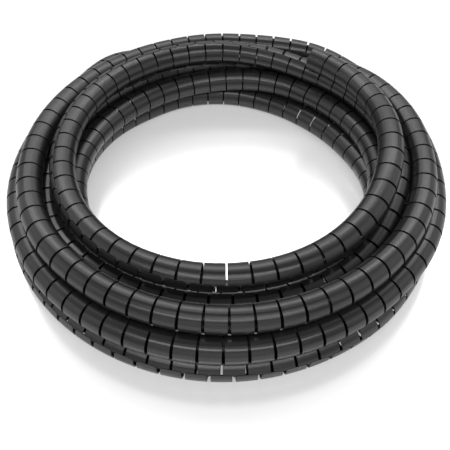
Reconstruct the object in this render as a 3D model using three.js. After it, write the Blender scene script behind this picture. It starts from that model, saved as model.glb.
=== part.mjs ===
// A loose coil of spiral cable wrap, lying flat on the floor. Millimetres, +Z up.
// The origin is on the floor, at the middle of the coil.
// The whole coil is one turned solid. Its section follows the outside of the stacked turns,
// so every turn shows as a rounded ridge on its top, its sides and its underside.

import * as THREE from 'three';

// Driving dimensions
const tubeDiameter = 25;
const coilOuterRadius = 222;
const lanePitch = 30.5; // between neighbouring turns on the floor
const floorTurns = 3;
const floorFlat = 0.4; // how far the lowest turns are pressed flat by the coil's weight

// Where the upper turns of the section lie: inwards from the outermost lane, and up from the floor turns
const outerUpperTurn = { inwards: 1.5, up: 25.5 };
const topOuterTurn = { inwards: 17.5, up: 48.5 };
const topInnerTurn = { inwards: 48, up: 60 };
const innerUpperTurn = { inwards: 55, up: 25.5 };

// Fineness of the mesh
const coilSegments = 40;
const arcStep = Math.PI / 5;

const tubeRadius = tubeDiameter / 2;
const outermostLane = coilOuterRadius - tubeRadius;
const floorCentreHeight = tubeRadius - floorFlat;

function floorTurn(index) {
  return new THREE.Vector2(outermostLane - index * lanePitch, floorCentreHeight);
}

function upperTurn({ inwards, up }) {
  return new THREE.Vector2(outermostLane - inwards, floorCentreHeight + up);
}

// The centres of the turns round the section, anticlockwise, beginning with the outermost floor turn
function sectionTurns() {
  const floor = Array.from({ length: floorTurns }, (_, index) => floorTurn(index));
  const upper = [outerUpperTurn, topOuterTurn, topInnerTurn, innerUpperTurn].map(upperTurn);
  return [floor[0], ...upper, ...floor.slice(1).reverse()];
}

function arcPoints(turn, from, to) {
  const steps = Math.max(1, Math.ceil((to - from) / arcStep));
  return Array.from({ length: steps + 1 }, (_, step) => {
    const angle = from + ((to - from) * step) / steps;
    return new THREE.Vector2(turn.x + tubeRadius * Math.cos(angle), turn.y + tubeRadius * Math.sin(angle));
  });
}

// The outer arc of one turn, between the points where it faces its two neighbours.
// A turn that is pressed onto the floor has a flat there.
function turnOutline(turn, before, after) {
  const from = before.clone().sub(turn).angle();
  const to = from + THREE.MathUtils.euclideanModulo(after.clone().sub(turn).angle() - from, 2 * Math.PI);
  if (turn.y >= tubeRadius) return arcPoints(turn, from, to);
  const down = 1.5 * Math.PI;
  const halfFlat = Math.acos(turn.y / tubeRadius);
  return [...arcPoints(turn, from, down - halfFlat), ...arcPoints(turn, down + halfFlat, to)];
}

function coilProfile() {
  const turns = sectionTurns();
  const profile = turns.flatMap((turn, index) => {
    const before = turns.at(index - 1);
    const after = turns[(index + 1) % turns.length];
    return turnOutline(turn, before, after);
  });
  return [...profile, profile[0].clone()];
}

function wrapCoil() {
  const geometry = new THREE.LatheGeometry(coilProfile(), coilSegments);
  geometry.rotateX(Math.PI / 2);
  const material = new THREE.MeshStandardMaterial({ color: 0x2c2d2f, roughness: 0.45, metalness: 0 });
  const mesh = new THREE.Mesh(geometry, material);
  mesh.name = 'wrap_coil';
  return mesh;
}

const group = new THREE.Group();
group.add(wrapCoil());

export default group;
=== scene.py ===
# A loose coil of slit spiral cable wrap, lying flat on a pale studio floor. Metres, +Z up.
# The wrap is one springy tube. Its turns are laid down along listed lanes, and then
# settled: they sink onto each other and push each other apart until they rest.
import math

import bpy
import numpy as np
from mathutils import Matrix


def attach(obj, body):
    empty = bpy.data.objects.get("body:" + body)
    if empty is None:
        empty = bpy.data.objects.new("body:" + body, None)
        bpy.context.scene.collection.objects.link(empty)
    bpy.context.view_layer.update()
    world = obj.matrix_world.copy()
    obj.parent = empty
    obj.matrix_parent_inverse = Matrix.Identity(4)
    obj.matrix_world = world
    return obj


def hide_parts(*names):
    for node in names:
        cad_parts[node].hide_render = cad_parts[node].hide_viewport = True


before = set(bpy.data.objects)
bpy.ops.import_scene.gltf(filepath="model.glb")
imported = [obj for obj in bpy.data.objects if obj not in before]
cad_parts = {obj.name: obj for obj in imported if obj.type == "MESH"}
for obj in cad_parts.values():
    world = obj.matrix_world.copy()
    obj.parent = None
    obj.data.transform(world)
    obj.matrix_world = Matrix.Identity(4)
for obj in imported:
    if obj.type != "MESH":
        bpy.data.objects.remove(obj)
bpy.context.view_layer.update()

# The wrap itself
DIAMETER = 0.025
RADIUS = DIAMETER / 2
WALL = 0.0012
PITCH = 0.0203  # from one long slit to the next
LONG_SLIT = 0.0021
SHORT_SLIT = 0.0025
SLIT_OPENING = 0.25  # how much wider a slit stands open on the outer side of the bend
SPINE = 253.0  # degrees round from the seam to the uncut spine, where both kinds of slit end
SEAM_WAVE = 4.5  # degrees that the wavy seam swings to each side
SEAM_GAP = 1.3  # degrees from the middle of the seam to its lip
CREST_HALF = 0.37  # of the pitch, from the middle of a crest to its corner
LONG_ROWS = 20
SHORT_ROWS = 8
SHARP_DEGREES = 40  # edges sharper than this are shaded as edges

# The lanes of the turns, from the end that shows on top to the end hidden behind. Each point:
# hour on a clock seen from above (12 is behind, 6 is in front), distance from the middle and
# height of the tube's axis, both in diameters of the tube, and the side that the seam faces,
# in degrees from straight outwards, turning upwards.
LANES = [
    # the end on top, and the top inner turn
    [(1.17, 6.72, 3.06, -45), (1.7, 6.84, 3.10, -38), (2.2, 6.74, 3.16, -30), (3, 6.50, 3.26, -20),
     (3.6, 6.36, 3.12, -10), (4.5, 6.23, 2.84, 0), (6, 6.21, 2.74, 17), (7.5, 6.35, 2.75, 37),
     (9, 6.38, 2.73, 57), (10.5, 6.72, 2.75, 77)],
    # behind on top, then under the top inner turn and between the two top turns
    [(0, 6.74, 2.75, 97), (1, 7.08, 2.20, 105), (2, 7.12, 2.16, 110), (3, 6.90, 2.36, 110),
     (3.6, 6.82, 2.20, 110), (4.5, 6.82, 1.84, 108), (6, 6.72, 1.78, 108), (7.5, 6.85, 1.72, 115),
     (9, 7.06, 1.62, 125), (10.5, 7.05, 1.72, 135)],
    # up between its neighbours to the top outer turn
    [(0, 7.10, 1.80, 150), (0.5, 7.50, 1.45, 170), (0.9, 7.80, 1.55, 195), (1.15, 7.92, 1.95, 210),
     (1.4, 8.04, 2.25, 225), (1.7, 8.06, 2.34, 240), (2, 8.02, 2.38, 255), (2.5, 7.90, 2.42, 280),
     (3, 7.82, 2.44, 300), (4.5, 7.70, 2.42, 315), (6, 7.66, 2.40, 327), (7.5, 7.64, 2.40, 325),
     (9, 7.65, 2.40, 325), (10.5, 7.80, 2.35, 335), (11.3, 7.90, 2.25, 355)],
    # behind on the outside, then outwards and down to the second outer turn
    [(0, 8.02, 2.12, 375), (0.5, 8.20, 2.15, 380), (0.9, 8.40, 2.05, 372), (1.15, 8.65, 1.80, 362),
     (1.4, 8.80, 1.55, 350), (1.7, 8.74, 1.47, 338), (2, 8.64, 1.45, 328), (2.4, 8.46, 1.45, 318),
     (3, 8.26, 1.48, 315), (3.7, 8.16, 1.48, 315), (4.5, 8.20, 1.50, 315), (6, 8.30, 1.52, 318),
     (7.5, 8.28, 1.52, 325), (9, 8.24, 1.50, 330), (10, 8.24, 1.50, 333), (10.5, 8.48, 1.48, 335),
     (11, 8.78, 1.25, 335), (11.5, 8.90, 0.85, 335)],
    # the outer turn on the floor, raised behind
    [(0, 8.88, 0.55, 335), (0.5, 8.85, 0.50, 336), (1, 8.82, 0.50, 337), (2, 8.58, 0.50, 338),
     (3, 8.34, 0.50, 340), (3.7, 8.14, 0.50, 345), (4.5, 8.16, 0.50, 355), (5.2, 8.28, 0.50, 372),
     (6, 8.39, 0.50, 383), (7.5, 8.31, 0.50, 390), (9, 8.32, 0.50, 392), (10, 8.38, 0.55, 392),
     (10.5, 8.24, 0.80, 390), (11, 8.10, 1.12, 388), (11.5, 8.03, 1.33, 386)],
    # the middle turn on the floor, raised where the others crowd it
    [(0, 8.00, 1.37, 385), (0.5, 8.03, 1.10, 385), (1, 8.00, 0.90, 385), (1.5, 7.92, 1.00, 385),
     (2, 7.72, 1.20, 385), (2.5, 7.48, 1.38, 385), (3, 7.32, 1.47, 385), (3.6, 7.30, 1.45, 385),
     (4.2, 7.24, 1.10, 385), (4.8, 7.20, 0.60, 385), (5.2, 7.24, 0.50, 385), (6, 7.36, 0.50, 385),
     (7.5, 7.32, 0.50, 385), (9, 7.36, 0.50, 385), (10, 7.48, 0.50, 385), (10.5, 7.50, 0.50, 385),
     (11.3, 7.55, 0.50, 385)],
    # inwards on the floor, then up onto the inner turn
    [(0, 7.45, 0.50, 385), (1, 7.08, 0.50, 385), (1.5, 7.02, 0.50, 385), (2, 7.08, 0.50, 385),
     (2.5, 7.24, 0.50, 385), (3, 7.38, 0.50, 385), (3.4, 7.35, 0.50, 385), (4, 6.85, 0.50, 385),
     (4.5, 6.40, 0.50, 385), (5, 6.22, 0.50, 385), (6, 6.33, 0.50, 385), (7.5, 6.25, 0.95, 385),
     (9, 6.16, 1.46, 385), (9.6, 6.10, 1.42, 385), (10.5, 6.04, 1.40, 385), (11.3, 6.10, 1.42, 385)],
    # the raised inner turn behind, then down to the innermost turn on the floor
    [(0, 6.22, 1.48, 385), (1, 6.45, 1.42, 385), (2, 6.50, 1.40, 385), (3, 6.36, 1.48, 385),
     (3.4, 6.30, 1.46, 385), (4, 6.05, 1.25, 385), (4.5, 5.72, 0.95, 385), (5, 5.35, 0.58, 385),
     (6, 5.33, 0.50, 385), (7.5, 5.70, 0.50, 385), (8.3, 6.10, 0.50, 385), (9, 6.40, 0.50, 385),
     (9.9, 6.60, 0.50, 385), (10.5, 6.64, 0.50, 385), (11.25, 6.60, 0.50, 385)],
    # the last stretch, on the floor inside the others, to the end under the top inner turn
    [(0, 6.45, 0.50, 385), (0.5, 6.20, 0.50, 385), (1, 6.10, 0.50, 385), (1.5, 6.02, 0.50, 385),
     (2, 6.06, 0.50, 385), (2.5, 6.24, 0.50, 385), (2.9, 6.42, 0.50, 385), (3.35, 6.52, 0.50, 385)],
]
COLUMNS = 96  # settled places in each turn
CLOCK_HOURS = 12
HOUR_DEGREES = 30
ON_FLOOR = 0.5  # height of the axis of a turn that lies on the floor, in diameters
LANE_SMOOTHING = 9  # settled places that the chosen lanes are averaged over


def place_and_aim(thing, place, aim):
    """Puts a camera or a light somewhere, and turns it towards a point."""
    bpy.context.scene.collection.objects.link(thing)
    thing.location = place
    x, y, z = np.array(aim) - np.array(place)
    thing.rotation_euler = (math.atan2(math.hypot(x, y), -z), 0, math.atan2(-x, y))


def add_camera():
    data = bpy.data.cameras.new("camera")
    data.sensor_width = 36
    data.lens = 53.66
    camera = bpy.data.objects.new("camera", data)
    place_and_aim(camera, place=(0, -0.4907, 0.5216), aim=(0, -0.039, 0))
    bpy.context.scene.camera = camera


def smoothed(values, width):
    """Each column of values, averaged along its length over a bell of that many places."""
    bell = np.hanning(width + 2)[1:-1]
    bell /= bell.sum()
    padded = np.pad(values, ((width // 2, width // 2), (0, 0)), mode="edge")
    return np.stack([np.convolve(column, bell, "valid") for column in padded.T], 1)


def lane_guide():
    """The hours of the settled places, and the chosen distance, height and seam side at each."""
    points = np.array([(CLOCK_HOURS * turn + hour, *rest)
                       for turn, lane in enumerate(LANES) for hour, *rest in lane])
    hours = np.arange(points[0, 0], points[-1, 0], CLOCK_HOURS / COLUMNS)
    guide = np.stack([np.interp(hours, points[:, 0], points[:, i]) for i in (1, 2, 3)], 1)
    return hours, smoothed(guide, LANE_SMOOTHING)


def settle(guide, steps=600, pull=0.02, sag=0.0015, stiffness=0.25, pushes=3, give=0.6, mean_radius=7.2):
    """Lets the turns rest: distance and height at each place, in diameters. Each step draws the
    turns towards their lanes, lets them sag, evens them out and pushes overlapping turns apart."""
    spacing = 2 * math.pi * mean_radius / COLUMNS
    places = guide.copy()
    count = len(places)
    for _ in range(steps):
        places += pull * (guide - places)
        places[:, 1] -= sag
        moved = places - guide
        places[1:-1] += stiffness * ((moved[2:] + moved[:-2]) / 2 - moved[1:-1])
        for _ in range(pushes):
            slope = np.gradient(places, axis=0) / spacing
            push = np.zeros_like(places)
            touching = np.zeros(count)
            for turns_apart in range(1, count // COLUMNS + 1):
                gap_between = turns_apart * COLUMNS
                lower, upper = slice(0, count - gap_between), slice(gap_between, count)
                apart = places[upper] - places[lower]
                lean = (slope[lower] + slope[upper]) / 2
                along = (apart * lean).sum(1) ** 2 / (1 + (lean ** 2).sum(1))
                flat = np.linalg.norm(apart, axis=1) + 1e-9
                overlap = np.clip(1 - np.sqrt(np.maximum(flat ** 2 - along, 1e-9)), 0, None)
                step = apart * (overlap / flat / 2)[:, None]
                push[lower] -= step
                push[upper] += step
                touching[lower] += overlap > 0
                touching[upper] += overlap > 0
            places += give * push / np.sqrt(np.maximum(touching, 1))[:, None]
            places[:, 1] = np.maximum(places[:, 1], ON_FLOOR)
    return places


class Centreline:
    """The axis of the tube, and the directions across it, at any length along it."""

    def __init__(self, hours, places, seam, fineness=8):
        fine_hours = np.linspace(hours[0], hours[-1], (len(hours) - 1) * fineness + 1)
        fine = np.stack([np.interp(fine_hours, hours, column) for column in (*places.T, seam)], 1)
        fine = smoothed(fine, 2 * fineness + 1)
        azimuth = np.radians(90 - HOUR_DEGREES * fine_hours)
        reach, height = fine[:, 0] * DIAMETER, fine[:, 1] * DIAMETER
        self.points = np.stack([reach * np.cos(azimuth), reach * np.sin(azimuth), height], 1)
        steps = np.linalg.norm(np.diff(self.points, axis=0), axis=1)
        self.lengths = np.concatenate([[0], np.cumsum(steps)])
        self.seam = fine[:, 2]
        tangent = np.gradient(self.points, self.lengths, axis=0)
        tangent /= np.linalg.norm(tangent, axis=1)[:, None]
        outward = np.cross([0, 0, 1], tangent)
        self.outward = outward / np.linalg.norm(outward, axis=1)[:, None]
        self.upward = np.cross(tangent, self.outward)

    @property
    def length(self):
        return self.lengths[-1]

    def at(self, along, values):
        return np.stack([np.interp(along, self.lengths, column) for column in values.T], -1)

    def seam_at(self, along):
        return np.interp(along, self.lengths, self.seam)

    def surface(self, along, degrees, radius):
        """Points at a radius, at degrees round from the seam."""
        angle = np.radians(self.seam_at(along) + degrees)[:, None]
        outward, upward = self.at(along, self.outward), self.at(along, self.upward)
        across = np.cos(angle) * outward + np.sin(angle) * upward
        return self.at(along, self.points) + radius[:, None] * across


class Sheet:
    """The tube laid flat: vertices by their place along the tube and round it."""

    def __init__(self):
        self.index = {}
        self.vertices = []
        self.faces = []

    def vertex(self, name, row, along, degrees):
        key = (name, row)
        if key not in self.index:
            self.index[key] = len(self.vertices)
            self.vertices.append((along, degrees))
        return self.index[key]

    def face(self, *corners):
        loop = [corner for i, corner in enumerate(corners) if corner != corners[i - 1]]
        if len(loop) > 2:
            self.faces.append(loop)


def slit_half(width, seam, degrees):
    """Half the width of a slit: it stands open on the outer side of the bend."""
    return width / 2 * (1 + SLIT_OPENING * math.cos(math.radians(seam + degrees)))


def cut_sheet(line, rings):
    """The whole tube laid flat, with its slits and its wavy seam. Long slits run from the seam to
    the spine, and short slits, half a pitch further, from the spine on to the seam's other lip."""
    sheet = Sheet()
    long_rows = [SPINE * row / LONG_ROWS for row in range(LONG_ROWS + 1)]
    short_rows = [SPINE + (360 - SPINE) * row / SHORT_ROWS for row in range(SHORT_ROWS + 1)]

    def long_edge(ring, side, row, degrees):
        """A vertex on the lip of a long slit; at the tube's two ends it lies on the cut."""
        if ring in (0, rings):
            if row == "spine":
                return sheet.vertex(("middle", ring), row, ring * PITCH, degrees)
            return sheet.vertex(("long", ring, side), row, ring * PITCH, degrees)
        half = slit_half(LONG_SLIT, line.seam_at(ring * PITCH), degrees)
        return sheet.vertex(("long", ring, side), row, ring * PITCH + side * half, degrees)

    def short_edge(ring, side, row, degrees):
        middle = (ring + 0.5) * PITCH
        half = slit_half(SHORT_SLIT, line.seam_at(middle), degrees)
        return sheet.vertex(("short", ring, side), row, middle + side * half, degrees)

    def crossing(ring, row, degrees):
        return sheet.vertex(("crossing", ring), row, (ring + 0.5) * PITCH, degrees)

    def middle(ring, row, degrees):
        return sheet.vertex(("middle", ring), row, ring * PITCH, degrees)

    def crest(ring, side, row, degrees):
        return sheet.vertex(("crest", ring, side), row, (ring + side * CREST_HALF) * PITCH, degrees)

    def short_face(side, *corners):
        """A face beside a short slit; on the slit's other side it runs the other way round."""
        sheet.face(*(corners if side == 1 else corners[::-1]))

    crest_high, trough = SEAM_WAVE, -SEAM_WAVE
    chamfer = (0.5 - SHORT_SLIT / PITCH / 2 - CREST_HALF) / (0.5 - CREST_HALF)
    slit_start = crest_high + (trough - crest_high) * chamfer
    for ring in range(rings):
        # the lip of the seam on the side of the long slits, and the first row
        lip = crest_high + SEAM_GAP
        left, right = long_edge(ring, 1, 0, lip), long_edge(ring + 1, -1, 0, lip)
        tooth = crossing(ring, 0, trough + SEAM_GAP)
        near, far = crest(ring, 1, 0, lip), crest(ring + 1, -1, 0, lip)
        after = long_rows[1]
        left_next, right_next = long_edge(ring, 1, 1, after), long_edge(ring + 1, -1, 1, after)
        tooth_next = crossing(ring, 1, after)
        sheet.face(left, near, tooth, tooth_next, left_next)
        sheet.face(tooth, far, right, right_next, tooth_next)
        # the rings between the long slits
        for row in range(1, LONG_ROWS - 1):
            a, b = long_rows[row], long_rows[row + 1]
            mid_a, mid_b = crossing(ring, row, a), crossing(ring, row + 1, b)
            sheet.face(long_edge(ring, 1, row, a), mid_a, mid_b, long_edge(ring, 1, row + 1, b))
            sheet.face(mid_a, long_edge(ring + 1, -1, row, a),
                       long_edge(ring + 1, -1, row + 1, b), mid_b)
        # the last row before the spine
        a = long_rows[LONG_ROWS - 1]
        mid_a, mid_b = crossing(ring, LONG_ROWS - 1, a), crossing(ring, "spine", SPINE)
        sheet.face(long_edge(ring, 1, LONG_ROWS - 1, a), mid_a, mid_b,
                   short_edge(ring, -1, "spine", SPINE), long_edge(ring, 1, "spine", SPINE))
        sheet.face(mid_a, long_edge(ring + 1, -1, LONG_ROWS - 1, a),
                   long_edge(ring + 1, -1, "spine", SPINE), short_edge(ring, 1, "spine", SPINE), mid_b)
    # the strips between the short slits, from the spine to the other lip of the seam
    inner_rows = [(("short", row), short_rows[row]) for row in range(1, SHORT_ROWS)]
    first, first_angle = inner_rows[0]
    last, last_angle = inner_rows[-1]
    lip = 360 + crest_high - SEAM_GAP
    for ring in range(rings + 1):
        for side in (-1, 1):
            slit = ring + min(side, 0)
            if not 0 <= slit < rings:
                continue
            short_face(side, middle(ring, "spine", SPINE), long_edge(ring, side, "spine", SPINE),
                       short_edge(slit, -side, "spine", SPINE),
                       short_edge(slit, -side, first, first_angle), middle(ring, first, first_angle))
            for (row, a), (row_next, b) in zip(inner_rows, inner_rows[1:]):
                short_face(side, middle(ring, row, a), short_edge(slit, -side, row, a),
                           short_edge(slit, -side, row_next, b), middle(ring, row_next, b))
            short_face(side, middle(ring, last, last_angle), short_edge(slit, -side, last, last_angle),
                       short_edge(slit, -side, "lip", 360 + slit_start - SEAM_GAP),
                       crest(ring, side, "lip", lip), middle(ring, "lip", lip))
    return sheet


def build_tube(line):
    """The tube's mesh, with its two skins and the rims between them, and the line that it follows."""
    rings = int(line.length / PITCH)
    sheet = cut_sheet(line, rings)
    along, degrees = np.array(sheet.vertices).T
    count = len(along)
    outer = line.surface(along, degrees, np.full(count, RADIUS))
    inner = line.surface(along, degrees, np.full(count, RADIUS - WALL))
    faces = [list(reversed(loop)) for loop in sheet.faces]
    edges = {(loop[i - 1], loop[i]) for loop in faces for i in range(len(loop))}
    rims = [(b, a, a + count, b + count) for a, b in edges if (b, a) not in edges]
    skin_inside = [[corner + count for corner in reversed(loop)] for loop in faces]
    mesh = bpy.data.meshes.new("wrap_tube")
    everything = faces + skin_inside + sorted(rims)
    mesh.from_pydata(np.concatenate([outer, inner]).tolist(), [], everything)
    corner_vertices = np.zeros(len(mesh.loops), dtype=np.int32)
    mesh.loops.foreach_get("vertex_index", corner_vertices)
    place = corner_vertices % count
    uv = mesh.uv_layers.new(name="along_and_round")
    metres_round = np.radians(degrees[place]) * RADIUS
    uv.uv.foreach_set("vector", np.stack([along[place], metres_round], 1).ravel())
    mesh.shade_smooth()
    mesh.set_sharp_from_angle(angle=math.radians(SHARP_DEGREES))
    tube = bpy.data.objects.new("wrap_tube", mesh)
    bpy.context.scene.collection.objects.link(tube)
    centres = line.at(np.linspace(0, rings * PITCH, 2 * rings + 1), line.points)
    return tube, centres, rings * PITCH


def plastic_material():
    """Satin charcoal plastic, drawn through a die: fine lines and broad waves along the tube."""
    material = bpy.data.materials.new("wrap_plastic_surface")
    material.use_nodes = True
    nodes, links = material.node_tree.nodes, material.node_tree.links
    shader = nodes["Principled BSDF"]
    shader.inputs["Specular IOR Level"].default_value = 0.65
    place = nodes.new("ShaderNodeUVMap")
    place.uv_map = "along_and_round"

    def streaks(along, across, detail):
        """Noise with so many cells for each metre along the tube and round it."""
        stretch = nodes.new("ShaderNodeMapping")
        stretch.inputs["Scale"].default_value = (along, across, 1)
        noise = nodes.new("ShaderNodeTexNoise")
        noise.inputs["Scale"].default_value = 1
        noise.inputs["Detail"].default_value = detail
        links.new(place.outputs["UV"], stretch.inputs["Vector"])
        links.new(stretch.outputs["Vector"], noise.inputs["Vector"])
        return noise.outputs["Fac"]

    def ranged(value, low, high):
        """The noise's usual range, spread from low to high."""
        spread = nodes.new("ShaderNodeMapRange")
        spread.inputs["From Min"].default_value = 0.3
        spread.inputs["From Max"].default_value = 0.7
        spread.inputs["To Min"].default_value = low
        spread.inputs["To Max"].default_value = high
        links.new(value, spread.inputs["Value"])
        return spread.outputs["Result"]

    die_lines = streaks(along=1.5, across=900, detail=1.5)
    broad_lines = streaks(along=1.2, across=260, detail=1.5)
    colour = nodes.new("ShaderNodeMix")
    colour.data_type = "RGBA"
    colour.inputs["A"].default_value = (0.006, 0.0061, 0.0064, 1)
    colour.inputs["B"].default_value = (0.017, 0.0172, 0.0177, 1)
    links.new(ranged(die_lines, 0, 1), colour.inputs["Factor"])
    links.new(colour.outputs["Result"], shader.inputs["Base Color"])
    links.new(ranged(die_lines, 0.28, 0.38), shader.inputs["Roughness"])
    waves = nodes.new("ShaderNodeBump")
    waves.inputs["Strength"].default_value = 0.5
    waves.inputs["Distance"].default_value = 0.0006
    links.new(broad_lines, waves.inputs["Height"])
    scratches = nodes.new("ShaderNodeBump")
    scratches.inputs["Strength"].default_value = 0.4
    scratches.inputs["Distance"].default_value = 0.0002
    links.new(die_lines, scratches.inputs["Height"])
    links.new(waves.outputs["Normal"], scratches.inputs["Normal"])
    links.new(scratches.outputs["Normal"], shader.inputs["Normal"])
    return material


def add_floor():
    """A pale, softly shining floor that glows a little, so that the coil's shadow stays faint."""
    half = 12
    corners = [(-half, -half, 0), (half, -half, 0), (half, half, 0), (-half, half, 0)]
    mesh = bpy.data.meshes.new("floor")
    mesh.from_pydata(corners, [], [(0, 1, 2, 3)])
    floor = bpy.data.objects.new("floor", mesh)
    bpy.context.scene.collection.objects.link(floor)
    material = bpy.data.materials.new("pale_floor")
    material.use_nodes = True
    shader = material.node_tree.nodes["Principled BSDF"]
    shader.inputs["Base Color"].default_value = (0.62, 0.62, 0.62, 1)
    shader.inputs["Emission Color"].default_value = (1, 1, 1, 1)
    shader.inputs["Emission Strength"].default_value = 0.36
    shader.inputs["Roughness"].default_value = 0.2
    shader.inputs["IOR"].default_value = 2.8
    mesh.materials.append(material)


def add_light(name, place, size, power):
    """A soft rectangle of light that faces the coil, with its size in metres and power in watts."""
    data = bpy.data.lights.new(name, "AREA")
    data.shape = "RECTANGLE"
    data.size, data.size_y = size
    data.energy = power
    place_and_aim(bpy.data.objects.new(name, data), place, aim=(0, 0, 0))


def add_studio():
    world = bpy.data.worlds.new("studio")
    bpy.context.scene.world = world
    world.use_nodes = True
    background = world.node_tree.nodes["Background"]
    background.inputs["Color"].default_value = (1, 1, 1, 1)
    background.inputs["Strength"].default_value = 0.12
    add_light("panel", place=(0, 2.3, 2.3), size=(5.0, 3.6), power=54)
    add_light("back_strip", place=(0, 1.35, 1.85), size=(4.0, 0.3), power=24)
    add_light("front_strip", place=(0, -1.45, 2.0), size=(3.0, 0.5), power=30)
    add_light("front", place=(0, -2.6, 0.8), size=(3.2, 0.7), power=8)
    add_light("left", place=(-2.3, 0, 1.2), size=(3.6, 1.8), power=16)
    add_light("right", place=(2.3, 0, 1.2), size=(3.6, 1.8), power=16)
    bpy.context.scene.view_settings.view_transform = "Standard"


add_camera()
hours, guide = lane_guide()
line = Centreline(hours, settle(guide[:, :2]), guide[:, 2])
tube, centres, tube_length = build_tube(line)
tube.data.materials.append(plastic_material())
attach(tube, "root")
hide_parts("wrap_coil")
add_floor()
add_studio()
print("tube length %.3f m, rings %d, triangles %d" % (
    tube_length, round(tube_length / PITCH), sum(len(p.vertices) - 2 for p in tube.data.polygons)))
